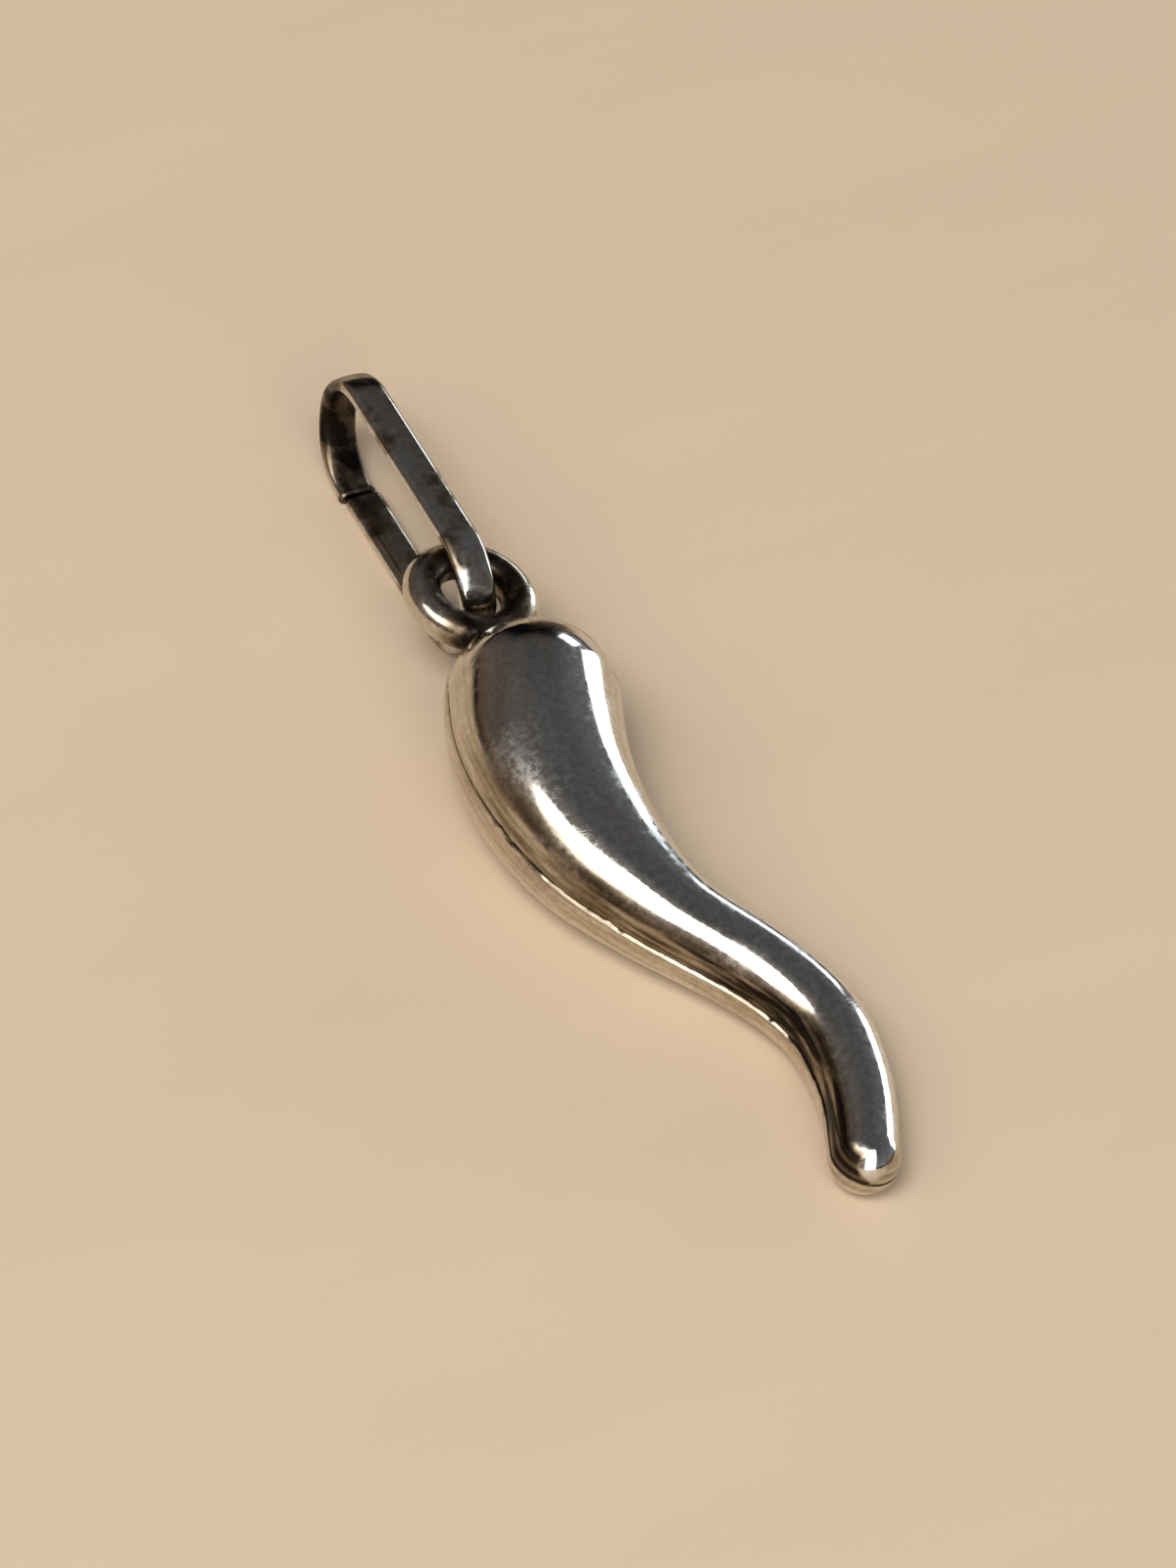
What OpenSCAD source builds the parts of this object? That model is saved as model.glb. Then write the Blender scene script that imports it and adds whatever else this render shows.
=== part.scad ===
// Chili pepper (horn) pendant, lying on a flat surface. Millimetres, +Z up.
// The horn is drawn in the plane of its seam with the middle of its round head at the origin, the
// eyelet towards +Y and the tip towards -Y. The last modules tilt it on to the surface and put the
// origin under the middle of the whole pendant.

/* [Horn] */
// Length of the horn from the top of its head to its tip
horn_length = 22; // [20:0.5:23]
// Width of the horn across its belly
belly_width = 5.3; // [5:0.1:5.4]
// Wall of the two pressed half shells
shell_wall = 0.4; // [0.3:0.05:0.6]

/* [Eyelet] */
// Thickness of the round wire of the eyelet
eyelet_wire = 1.15; // [1:0.05:1.2]
// Width of the hole that the bail passes through
eyelet_hole = 1.9; // [1.8:0.1:2.2]

/* [Bail] */
// Length of the bail over its two round ends
bail_length = 10.7; // [10:0.1:14]
// Height of the bail over its two legs
bail_height = 4.45; // [4.4:0.05:5]
// Width of the flat strip
strip_width = 1.2; // [0.9:0.05:1.2]
// Thickness of the flat strip
strip_thickness = 0.5; // [0.35:0.05:0.55]
// Gap between the two cut ends of the strip, where they were pressed together
strip_cut = 0.08; // [0.05:0.01:0.15]

/* [How it lies] */
// Slope of the seam plane down to the tip, because the belly is fatter than the tip
tip_drop = 5.05; // [4.8:0.05:5.2]
// Turn of the horn about its length, until the outer bend of its tail meets the surface
tail_roll = 4.5; // [2:0.5:6]
// Turn of the bail to the side, away from the horn's length
bail_turn = 5.8; // [5:0.2:8]
// Lean of the bail's top over its lower leg
bail_lean = 5; // [2:0.5:8]

/* [Hidden] */
SILVER = [0.76, 0.76, 0.75];

// Columns of the table of the horn's sections
ALONG = 0;
ASIDE = 1;
RADIUS = 2;

// A row for each section: its distance from the middle of the head, how far the middle line lies
// to the side, and the section's radius, on a horn of the table's own length and width
HORN_ROWS = [
  [0.0, 0.00, 2.65],
  [1.5, -0.70, 2.65],
  [3.0, -1.11, 2.53],
  [4.5, -1.26, 2.36],
  [6.0, -1.16, 2.13],
  [7.5, -0.80, 1.83],
  [9.0, -0.20, 1.57],
  [10.5, 0.76, 1.46],
  [12.0, 1.58, 1.40],
  [13.5, 2.02, 1.34],
  [15.0, 1.92, 1.26],
  [16.6, 1.45, 1.15],
  [18.35, 0.58, 1.07],
];
TABLE_LENGTH = 22;
TABLE_WIDTH = 5.3;
LAST_ROW = len(HORN_ROWS) - 1;
length_scale = horn_length / TABLE_LENGTH;
width_scale = belly_width / TABLE_WIDTH;

// The row before the first and after the last carry the curve straight on
function horn_row(i) =
  i < 0 ? 2 * HORN_ROWS[0] - HORN_ROWS[1] :
  i > LAST_ROW ? 2 * HORN_ROWS[LAST_ROW] - HORN_ROWS[LAST_ROW - 1] :
  HORN_ROWS[i];

// Smooth curve from b to c, with its neighbours a and d setting the direction at each end
function smooth(a, b, c, d, t) =
  b + 0.5 * t * (c - a + t * (2 * a - 5 * b + 4 * c - d + t * (3 * (b - c) + d - a)));

// Section at place u along the table: [x, y, radius] in the seam plane
function horn_section(u) =
  let (i = min(floor(u), LAST_ROW - 1))
  let (row = smooth(horn_row(i - 1), horn_row(i), horn_row(i + 1), horn_row(i + 2), u - i))
  [row[ASIDE] * length_scale, -row[ALONG] * length_scale, row[RADIUS] * width_scale];

// Direction of the middle line at place u, towards the tip
HEADING_STEP = 0.02;
function horn_heading(u) =
  let (a = horn_section(max(u - HEADING_STEP, 0)))
  let (b = horn_section(min(u + HEADING_STEP, LAST_ROW)))
  let (run = norm([b.x - a.x, b.y - a.y]))
  [(b.x - a.x) / run, (b.y - a.y) / run];

// A ring of the skin: middle [x, y], direction of the middle line, radius
function horn_ring(middle, heading, radius, sides) =
  [for (k = [0 : sides - 1])
    let (turn = 360 * k / sides)
    [middle.x - heading.y * radius * cos(turn),
     middle.y + heading.x * radius * cos(turn),
     radius * sin(turn)]];

// Rings of the whole skin, from pole to pole: round head, the sections in between, round tip
function horn_rings(inset, steps, cap_steps, sides) =
  let (head = horn_section(0), head_way = horn_heading(0))
  let (tip = horn_section(LAST_ROW), tip_way = horn_heading(LAST_ROW))
  let (head_r = head[2] - inset, tip_r = tip[2] - inset)
  concat(
    [for (k = [cap_steps - 1 : -1 : 1])
      let (rise = 90 * k / cap_steps)
      horn_ring([head.x, head.y] - head_way * head_r * sin(rise), head_way, head_r * cos(rise), sides)],
    [for (k = [0 : LAST_ROW * steps])
      let (u = k / steps, at = horn_section(u))
      horn_ring([at.x, at.y], horn_heading(u), at[2] - inset, sides)],
    [for (k = [1 : cap_steps - 1])
      let (rise = 90 * k / cap_steps)
      horn_ring([tip.x, tip.y] + tip_way * tip_r * sin(rise), tip_way, tip_r * cos(rise), sides)]
  );

// A closed skin through the rings, with a point at each pole
module horn_skin(inset, steps, cap_steps, sides) {
  rings = horn_rings(inset, steps, cap_steps, sides);
  last = len(rings) - 1;
  head = horn_section(0);
  tip = horn_section(LAST_ROW);
  head_pole = [head.x, head.y] - horn_heading(0) * (head[2] - inset);
  tip_pole = [tip.x, tip.y] + horn_heading(LAST_ROW) * (tip[2] - inset);
  skin_points = [for (ring = rings) for (point = ring) point];
  poles = [[head_pole.x, head_pole.y, 0], [tip_pole.x, tip_pole.y, 0]];
  head_index = len(skin_points);
  tip_index = head_index + 1;
  head_faces = [for (k = [0 : sides - 1]) [head_index, k, (k + 1) % sides]];
  tip_faces = [for (k = [0 : sides - 1])
    [tip_index, last * sides + (k + 1) % sides, last * sides + k]];
  side_faces = [for (j = [0 : last - 1]) for (k = [0 : sides - 1])
    let (a = j * sides + k, b = j * sides + (k + 1) % sides)
    for (face = [[a, b + sides, b], [a, a + sides, b + sides]]) face];
  polyhedron(points = concat(skin_points, poles), faces = concat(head_faces, side_faces, tip_faces));
}

// Eyelet: a plain round-wire ring in the seam plane. The solder lets it sink a little into the
// head, and it sits a few degrees to the side, where the head's middle line comes out
SOLDER_DEPTH = 0.3;
EYELET_SIDE = 5;
eyelet_radius = (eyelet_hole + eyelet_wire) / 2;
head_radius = horn_section(0)[2];
eyelet_reach = head_radius - SOLDER_DEPTH + eyelet_wire / 2 + eyelet_radius;

module eyelet_ring() {
  rotate_extrude($fn = 64)
    translate([eyelet_radius, 0])
      circle(d = eyelet_wire, $fn = 32);
}

// Solder that fills the corner between the head and the eyelet: a cove, turned about the line from
// the head's middle to the eyelet's. Its foot is let into the head, and its neck ends in the wire
COVE_RADIUS = 0.7;
COVE_FOOT = 1.1;
COVE_LIP = 0.06;
COVE_SUNK = 0.25;
module solder_cove() {
  foot_height = sqrt(pow(head_radius, 2) - pow(COVE_FOOT, 2));
  rotate([-90, 0, 0])
    rotate_extrude($fn = 48)
      difference() {
        translate([0, foot_height - COVE_SUNK])
          square([COVE_FOOT, COVE_RADIUS + COVE_SUNK]);
        translate([COVE_FOOT + COVE_LIP, foot_height + COVE_RADIUS])
          circle(r = COVE_RADIUS, $fn = 32);
      }
}

// Bail: it stands on its lower leg with the eyelet's wire inside it. Its near end reaches a little
// past the middle of the eyelet, its middle is to the side of the head's, and the cut is in the
// lower leg, beside the far bend
STRIP_ROUND = 0.2;
BAIL_PAST = 0.62;
BAIL_SIDE = 1.15;
CUT_FROM_BEND = 0.2;
bail_bend = (bail_height - strip_thickness) / 2;
bail_straight = bail_length - bail_height;
bail_middle = eyelet_reach - BAIL_PAST + bail_length / 2;
bail_stand = (bail_height / 2 - STRIP_ROUND) * cos(bail_lean)
  + (strip_width / 2 - STRIP_ROUND) * sin(bail_lean) + STRIP_ROUND;

// Where a point of the seam plane comes to once the horn is tilted on to the surface
function tilted_side(x, y) = x * cos(tail_roll) + y * sin(tip_drop) * sin(tail_roll);
function tilted_height(x, y) = y * sin(tip_drop) * cos(tail_roll) - x * sin(tail_roll);

// Sections along the horn, close enough together to find its lowest point and its two sides
PLACES = [for (k = [0 : 4 * LAST_ROW]) horn_section(k / 4)];
horn_lift = -min([for (at = PLACES) tilted_height(at.x, at.y) - at[2]]);
horn_left = min([for (at = PLACES) tilted_side(at.x, at.y) - at[2]]);
horn_right = max([for (at = PLACES) tilted_side(at.x, at.y) + at[2]]);

// The origin of the whole pendant is under the middle of its bounding box, which reaches from the
// tip's round cap to the corner of the bail's far bend
tip_section = horn_section(LAST_ROW);
tip_end = tip_section.y * cos(tip_drop) - tip_section[2];
bail_end = bail_middle + (bail_length / 2 - STRIP_ROUND) * cos(bail_turn)
  + (strip_width / 2 - STRIP_ROUND) * sin(bail_turn) + STRIP_ROUND;
middle_x = (horn_left + horn_right) / 2;
middle_y = (tip_end + bail_end) / 2;

// Section of the strip: flat faces and rounded edges. x is its thickness, y its width
module strip_section() {
  square([strip_thickness - 2 * STRIP_ROUND, strip_width], center = true);
  square([strip_thickness, strip_width - 2 * STRIP_ROUND], center = true);
  for (side = [-1, 1], edge = [-1, 1])
    translate([side * (strip_thickness / 2 - STRIP_ROUND), edge * (strip_width / 2 - STRIP_ROUND)])
      circle(r = STRIP_ROUND, $fn = 24);
}

// One round end, turned about the width of the strip
module bail_end_bend() {
  rotate([0, 90, 0])
    rotate_extrude(angle = 180, $fn = 64)
      translate([bail_bend, 0])
        strip_section();
}

// One straight leg along y
module bail_leg() {
  rotate([90, 0, 0])
    linear_extrude(height = bail_straight, center = true)
      rotate([0, 0, 90])
        strip_section();
}

// The bail about its own middle, long way along y, with its cut in the lower leg
module bail_link() {
  difference() {
    union() {
      for (way = [-1, 1]) {
        translate([0, 0, way * bail_bend])
          bail_leg();
        translate([0, way * bail_straight / 2, 0])
          rotate([way > 0 ? 0 : 180, 0, 0])
            bail_end_bend();
      }
    }
    translate([0, bail_straight / 2 - CUT_FROM_BEND, -bail_bend])
      cube([2 * strip_width, strip_cut, 2 * strip_thickness], center = true);
  }
}

// Two pressed half shells soldered round the seam, the eyelet and its solder: one hollow solid
module horn() {
  color(SILVER)
    translate([-middle_x, -middle_y, horn_lift])
      rotate([tip_drop, tail_roll, 0])
        difference() {
          union() {
            horn_skin(inset = 0, steps = 4, cap_steps = 7, sides = 32);
            rotate([0, 0, -EYELET_SIDE]) {
              solder_cove();
              translate([0, eyelet_reach, 0])
                eyelet_ring();
            }
          }
          horn_skin(inset = shell_wall, steps = 2, cap_steps = 4, sides = 20);
        }
}

module bail() {
  color(SILVER)
    translate([BAIL_SIDE - middle_x, bail_middle - middle_y, bail_stand])
      rotate([0, 0, -bail_turn])
        rotate([0, -bail_lean, 0])
          bail_link();
}

horn();
bail();
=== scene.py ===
# %% [markdown]
# A horn pendant in worn silver. This lesson dresses a small CAD model as the real thing.
# The CAD model is the frame: it says where each piece is and how big it may be. It is loaded first,
# and its box is kept, because nothing that is modelled here may stand outside it.

# %% Load the frame
import math
import bpy
import bmesh
from mathutils import Matrix, Vector, kdtree, noise


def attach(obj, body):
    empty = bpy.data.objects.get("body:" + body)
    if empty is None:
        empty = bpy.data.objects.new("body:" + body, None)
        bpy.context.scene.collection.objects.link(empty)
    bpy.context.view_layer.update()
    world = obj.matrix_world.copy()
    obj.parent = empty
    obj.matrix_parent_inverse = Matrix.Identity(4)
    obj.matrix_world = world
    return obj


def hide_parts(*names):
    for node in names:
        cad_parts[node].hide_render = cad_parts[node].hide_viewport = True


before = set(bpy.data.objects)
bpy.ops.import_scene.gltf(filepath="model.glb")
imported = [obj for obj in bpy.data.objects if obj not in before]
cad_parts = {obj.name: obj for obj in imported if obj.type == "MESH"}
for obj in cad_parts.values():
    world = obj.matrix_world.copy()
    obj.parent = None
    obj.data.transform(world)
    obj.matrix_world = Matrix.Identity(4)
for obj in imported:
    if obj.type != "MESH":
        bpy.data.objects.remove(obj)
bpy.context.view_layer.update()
MM = 0.001
UP = Vector((0, 0, 1))

# %% [markdown]
# The picture is taken from above and from the side, a little turned in the hand. The way to place
# such a camera is to say where it looks, how steeply, and from how far, and to build its three
# directions from that. A matrix is surer than three angles, because the turn in the hand comes last.

# %% Place the camera
PICTURE_HEIGHT = 1600
LOOK_DOWN = math.radians(42)
TURN_IN_HAND = math.radians(14)
LOOK_ALONG = Vector((0.656, 0.755, 0)).normalized()
LEVEL_RIGHT = Vector((LOOK_ALONG.y, -LOOK_ALONG.x, 0))
LOOK_AT = Vector((1.991, 1.164, 0)) * MM
CAMERA_AWAY = 231.2 * MM
FOCAL_IN_PIXELS = 7927
SENSOR_HEIGHT = 24
SEES_FROM, SEES_TO = CAMERA_AWAY / 100, 20


def camera_directions():
    """Right, up and forward of the camera, as unit vectors of the frame."""
    forward = LOOK_ALONG * math.cos(LOOK_DOWN) + Vector((0, 0, -math.sin(LOOK_DOWN)))
    upright = LEVEL_RIGHT.cross(forward)
    right = LEVEL_RIGHT * math.cos(TURN_IN_HAND) + upright * math.sin(TURN_IN_HAND)
    return right, right.cross(forward), forward


def add_camera():
    """A camera whose field of view covers the picture's height."""
    right, up, forward = camera_directions()
    data = bpy.data.cameras.new("camera")
    data.sensor_fit = "VERTICAL"
    data.sensor_width = data.sensor_height = SENSOR_HEIGHT
    data.lens = SENSOR_HEIGHT * FOCAL_IN_PIXELS / PICTURE_HEIGHT
    data.clip_start, data.clip_end = SEES_FROM, SEES_TO
    camera = bpy.data.objects.new("camera", data)
    bpy.context.scene.collection.objects.link(camera)
    turn = Matrix((right, up, -forward)).transposed().to_4x4()
    camera.matrix_world = Matrix.Translation(LOOK_AT - forward * CAMERA_AWAY) @ turn
    bpy.context.scene.camera = camera
    return camera


camera = add_camera()
print("camera stands at mm:", [round(v / MM, 1) for v in camera.matrix_world.translation])

# %% [markdown]
# Operators act on what is selected, so every piece starts with nothing selected. In edit mode the
# next part to work on is picked by where it lies, which is what a hand would do with a box select.

# %% Helpers for selecting
WELD = MM / 10000


def start_fresh():
    """Object mode, with nothing selected."""
    if bpy.context.object and bpy.context.object.mode != "OBJECT":
        bpy.ops.object.mode_set(mode="OBJECT")
    bpy.ops.object.select_all(action="DESELECT")


def work_on(piece):
    """Makes one piece the selected and active one."""
    start_fresh()
    piece.select_set(True)
    bpy.context.view_layer.objects.active = piece


def pick(piece, wanted, kind="VERT"):
    """In edit mode, selects the vertices, edges or faces whose middle point is wanted."""
    bpy.ops.mesh.select_mode(type=kind)
    bpy.ops.mesh.select_all(action="DESELECT")
    mesh = bmesh.from_edit_mesh(piece.data)
    for part in {"VERT": mesh.verts, "EDGE": mesh.edges, "FACE": mesh.faces}[kind]:
        if kind == "VERT":
            place = part.co
        else:
            place = sum((v.co for v in part.verts), Vector()) / len(part.verts)
        if wanted(place):
            part.select_set(True)
    mesh.select_flush_mode()
    bmesh.update_edit_mesh(piece.data)


def pick_all():
    """In edit mode, selects everything."""
    bpy.ops.mesh.select_all(action="SELECT")


def close_up():
    """Welds doubled points of the mesh in edit mode and turns its faces outwards."""
    pick_all()
    bpy.ops.mesh.remove_doubles(threshold=WELD)
    bpy.ops.mesh.normals_make_consistent(inside=False)


def settle(piece):
    """Moves a piece's place into its mesh, so that the object itself sits at the origin."""
    work_on(piece)
    bpy.ops.object.transform_apply(location=True, rotation=True, scale=True)
    return piece


def box_of(piece):
    """Lowest and highest corner of a piece's mesh."""
    points = [v.co for v in piece.data.vertices]
    low = Vector([min(p[k] for p in points) for k in range(3)])
    high = Vector([max(p[k] for p in points) for k in range(3)])
    return low, high


def in_mm(corners):
    """The corners of a box in mm, for printing."""
    return [[round(c / MM, 3) for c in corner] for corner in corners]


# %% [markdown]
# The real horn is pressed in two halves from thin sheet, and the halves are soldered together. Its
# middle line is an S that lies in the plane of that seam, and its sections are round. So a short
# table says all of its shape: how far along, how far to the side, and how thick. Between the rows a
# cubic spline runs, because polished silver shows every kink: its bend has to change smoothly too,
# and not only its direction.

# %% The table and the spline through it
HORN_ROWS = [
    # along, aside, radius, in mm from the middle of the round head
    (0.0, 0.00, 2.65),
    (1.5, -0.70, 2.65),
    (3.0, -1.11, 2.53),
    (4.5, -1.26, 2.36),
    (6.0, -1.16, 2.13),
    (7.5, -0.80, 1.83),
    (9.0, -0.20, 1.57),
    (10.5, 0.76, 1.46),
    (12.0, 1.58, 1.40),
    (13.5, 2.02, 1.34),
    (15.0, 1.92, 1.26),
    (16.6, 1.45, 1.15),
    (18.35, 0.58, 1.07),
]
LAST_ROW = len(HORN_ROWS) - 1
SMALL_STEP = 0.01


def spline_bends(values):
    """Second derivatives of a natural cubic spline through evenly counted values."""
    count = len(values)
    share, right = [0.0] * count, [0.0] * count
    for i in range(1, count - 1):
        pull = 6 * (values[i + 1] - 2 * values[i] + values[i - 1])
        under = 4 - share[i - 1]
        share[i] = 1 / under
        right[i] = (pull - right[i - 1]) / under
    bends = [0.0] * count
    for i in range(count - 2, 0, -1):
        bends[i] = right[i] - share[i] * bends[i + 1]
    return bends


COLUMNS = list(zip(*HORN_ROWS))
BENDS = [spline_bends(column) for column in COLUMNS]


def horn_section(u):
    """Middle point and radius at place u along the table, in the plane of the seam."""
    i = min(int(u), LAST_ROW - 1)
    t, s = u - i, 1 - u + i
    along, aside, radius = (
        s * c[i] + t * c[i + 1] + ((s**3 - s) * b[i] + (t**3 - t) * b[i + 1]) / 6
        for c, b in zip(COLUMNS, BENDS)
    )
    return Vector((aside, -along, 0)) * MM, radius * MM


def horn_heading(u):
    """Direction of the middle line at place u, towards the tip."""
    before, after = max(u - SMALL_STEP, 0), min(u + SMALL_STEP, LAST_ROW)
    return (horn_section(after)[0] - horn_section(before)[0]).normalized()


print("rows:", len(HORN_ROWS), "belly mm:", round(2 * horn_section(0.6)[1] / MM, 2))

# %% [markdown]
# A skin like this can be lofted, bevelled along a curve, or drawn out ring by ring. Ring by ring is
# chosen, because each ring can then have more points beside the seam, where the fine step between
# the halves will be cut. The ring starts as a circle. Its edges beside the seam are subdivided, and
# it is pushed back to a true round. Then it is extruded, moved, turned and scaled from section to
# section.

# %% The first ring
RING_SIDES = 48
SEAM_CUTS = 4
RINGS_PER_ROW = 5


def first_ring():
    """A circle about the middle line, denser where it crosses the plane of the seam."""
    start_fresh()
    middle, radius = horn_section(0)
    bpy.ops.mesh.primitive_circle_add(
        vertices=RING_SIDES, radius=radius, fill_type="NOTHING", location=middle,
        rotation=(math.radians(90), 0, 0))
    ring = settle(bpy.context.object)
    ring.name = "horn_silver"
    bpy.ops.object.mode_set(mode="EDIT")
    near = 2 * math.pi * radius / RING_SIDES
    pick(ring, lambda p: abs(p.z) < near, "EDGE")
    bpy.ops.mesh.subdivide(number_cuts=SEAM_CUTS)
    pick_all()
    bpy.ops.transform.tosphere(value=1)
    # The circle lies square to -Y, and the horn sets off a little to the side
    turn_ring(math.atan2(*horn_heading(0).xy) - math.pi, middle)
    return ring


def turn_ring(angle, middle):
    """Turns what is selected about Z. Without a window the operator turns the other way."""
    bpy.ops.transform.rotate(value=angle, orient_axis="Z", center_override=middle)


def heading_angle(heading):
    """Angle of a direction in the plane of the seam, about Z."""
    return math.atan2(heading.y, heading.x)


def next_ring(before, after, turn):
    """Extrudes the selected ring from one section to the next. A section is (middle, radius)."""
    bpy.ops.mesh.extrude_region_move(TRANSFORM_OT_translate={"value": after[0] - before[0]})
    turn_ring(-turn, after[0])
    grow = after[1] / before[1]
    bpy.ops.transform.resize(value=(grow, grow, grow), center_override=after[0])


def draw_skin(piece):
    """Extrudes the first ring through all the sections, up to the last."""
    places = [k / RINGS_PER_ROW for k in range(LAST_ROW * RINGS_PER_ROW + 1)]
    for u, v in zip(places, places[1:]):
        turn = heading_angle(horn_heading(v)) - heading_angle(horn_heading(u))
        next_ring(horn_section(u), horn_section(v), turn)
    return len(places)


horn = first_ring()
print("rings:", draw_skin(horn), "points:", len(bmesh.from_edit_mesh(horn.data).verts))

# %% [markdown]
# Both ends of the real horn are round. Rings that shrink to a point would pinch the mesh there, and
# polished silver shows a pinch. So each end is filled with a grid, and the grid is blown up to half
# a ball. Beside the seam its lines are laid level, because the seam runs straight over both ends.

# %% Round ends
SEAM_STEP = 2 * math.pi / RING_SIDES / (SEAM_CUTS + 1)
CORNER_ANGLE = math.radians(135)
GRID_SPAN = 20
GRID_COLUMNS = 11
LEVEL_UP_TO = math.radians(8)
FREE_FROM = math.radians(30)


def row_angles():
    """How far up from the seam each line of the grid starts, from the lowest to the highest."""
    side_step = 2 * math.pi / RING_SIDES
    above = [SEAM_STEP * k for k in range(1, SEAM_CUTS + 1)]
    above += [side_step * k for k in range(1, RING_SIDES // 8)]
    return [-a for a in reversed(above)] + [0] + above


def ease(value, low, high):
    """0 below low, 1 above high, and a smooth step between them."""
    t = min(max((value - low) / (high - low), 0), 1)
    return t * t * (3 - 2 * t)


def on_ball(offset, radius, outward, row_angle):
    """Where a point of the flat grid comes to on the half ball, seen from its middle."""
    across = UP.cross(outward)
    polar = offset.length / radius * math.pi / 2
    way = outward * math.cos(polar) + offset.normalized() * math.sin(polar)
    height = math.asin(max(-1, min(1, way.z)))
    height = row_angle + (height - row_angle) * ease(abs(row_angle), LEVEL_UP_TO, FREE_FROM)
    side = math.atan2(way.dot(across), way.dot(outward))
    flat = outward * math.cos(side) + across * math.sin(side)
    return radius * (flat * math.cos(height) + Vector((0, 0, math.sin(height))))


def round_end(piece, u, outward):
    """Fills the open ring at place u with a grid and blows the grid up to half a ball."""
    middle, radius = horn_section(u)
    across = UP.cross(outward)
    flat, reach = radius / 1000, 1.2 * radius
    pick(piece, lambda p: abs((p - middle).dot(outward)) < flat and (p - middle).length < reach)
    mesh = bmesh.from_edit_mesh(piece.data)
    ring = [v for v in mesh.verts if v.select]
    corner = min(ring, key=lambda v: abs(
        math.atan2(v.co.z, (v.co - middle).dot(across)) - CORNER_ANGLE))
    mesh.select_history.clear()
    mesh.select_history.add(corner)
    bmesh.update_edit_mesh(piece.data)
    before = len(mesh.verts)
    bpy.ops.mesh.fill_grid(span=GRID_SPAN, offset=0)
    mesh = bmesh.from_edit_mesh(piece.data)
    new = list(mesh.verts)[before:]
    rows = [new[k:k + GRID_COLUMNS] for k in range(0, len(new), GRID_COLUMNS)]
    rows.sort(key=lambda row: sum(v.co.z for v in row))
    for row, angle in zip(rows, row_angles()):
        for v in row:
            v.co = middle + on_ball(v.co - middle, radius, outward, angle)
    bmesh.update_edit_mesh(piece.data)
    return len(new)


print("head points:", round_end(horn, 0, -horn_heading(0)))
print("tip points:", round_end(horn, LAST_ROW, horn_heading(LAST_ROW)))
pick_all()
bpy.ops.mesh.normals_make_consistent(inside=False)

# %% [markdown]
# A Subdivision Surface modifier makes the cage smooth. It is applied, because the seam is cut into
# the fine mesh next.

# %% Smooth skin
SKIN_LEVELS = 2


def smooth_over(piece, levels):
    """Subdivides a piece smoothly and applies the modifier."""
    work_on(piece)
    finish = piece.modifiers.new("smooth", "SUBSURF")
    finish.levels = finish.render_levels = levels
    bpy.ops.object.modifier_apply(modifier=finish.name)
    return len(piece.data.polygons)


print("faces of the smooth skin:", smooth_over(horn, SKIN_LEVELS))

# %% [markdown]
# Now the seam. The lower half of the real horn has a filed upper edge that catches the lamp, above
# it is a thin dark gap, and the upper half sits a hair further in. Cutting such a step with a
# Boolean would leave ragged triangles. Here the rows of the mesh beside the seam are laid at fixed
# heights first, so that every edge of the step runs along a row, and then each row is moved in by
# its own amount.

# %% Laying the rows and cutting the seam
LEVEL_ROWS = 4
FREE_ROWS = 10
ROW_PARTS = 2 ** SKIN_LEVELS
ROW_RISE = 0.0375 * MM
SEAM_PROFILE = [
    # height above the middle of the seam, and how far in, in mm
    (-0.0937, 0.000),
    (0.0000, 0.100),
    (0.0094, 0.160),
    (0.0188, 0.160),
    (0.0281, 0.080),
    (0.0375, 0.062),
    (0.0750, 0.050),
    (0.2000, 0.036),
    (0.6000, 0.000),
]
STEEP_BELOW = 2 * SEAM_PROFILE[3][0] * MM
STATIONS = 480
UNDER_CAD = 0.019 * MM
# Places along the table come in pairs, where a change starts and where it is complete
DEEPER, DEEPER_AT = 0.17, (4.2, 6.6)
TIP_SHALLOWER, SHALLOWER_AT = 0.4, (10.5, LAST_ROW)
FILED_START, FILED_END = (3.7, 4.1), (8.9, 9.3)
HEAD_OPEN, GAP_FAINT_TO = 0.5, (1.8, 3.2)
TIP_CLOSED, TIP_CLOSED_AT = 0.75, (11.2, 11.9)
EDGE_STEEP, EDGE_UNEVEN, EDGE_WAVES = 0.42, 0.16, 2
STRAYS = [
    # waves per mm, how far the gap strays up or down, in mm
    (3, 0.018),
    (11, 0.008),
]
NICKS = [
    # place along the table, width in rows of the table, how far the gap jumps up, in mm
    (2.86, 0.06, 0.05),
    (3.12, 0.07, -0.07),
    (5.20, 0.09, 0.06),
    (5.42, 0.06, -0.05),
    (6.10, 0.05, 0.03),
    (8.36, 0.08, -0.06),
]
DENTS = [
    # size of the unevenness along the surface, and its depth, in mm
    (1.6, 0.0040),
    (0.45, 0.0005),
]


def laid_angle(angle, radius):
    """Angle up from the seam at which a point of the section is laid."""
    rows = abs(angle) / SEAM_STEP
    top = math.asin(LEVEL_ROWS * ROW_RISE / radius)
    if rows < LEVEL_ROWS + 0.5 / ROW_PARTS:
        laid = math.asin(round(rows * ROW_PARTS) / ROW_PARTS * ROW_RISE / radius)
    elif rows < FREE_ROWS:
        share = (rows - LEVEL_ROWS) / (FREE_ROWS - LEVEL_ROWS)
        laid = top + (FREE_ROWS * SEAM_STEP - top) * share
    else:
        laid = abs(angle)
    return math.copysign(laid, angle)


def way_in(height):
    """How far in the metal is at a height above the seam, both in mm."""
    for (low, low_in), (high, high_in) in zip(SEAM_PROFILE, SEAM_PROFILE[1:]):
        if low <= height < high:
            return low_in + (high_in - low_in) * (height - low) / (high - low)
    return 0


def filed(u):
    """1 where the lower half's edge was filed to a flat, which is the bend under the belly."""
    return ease(u, *FILED_START) * (1 - ease(u, *FILED_END))


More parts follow.
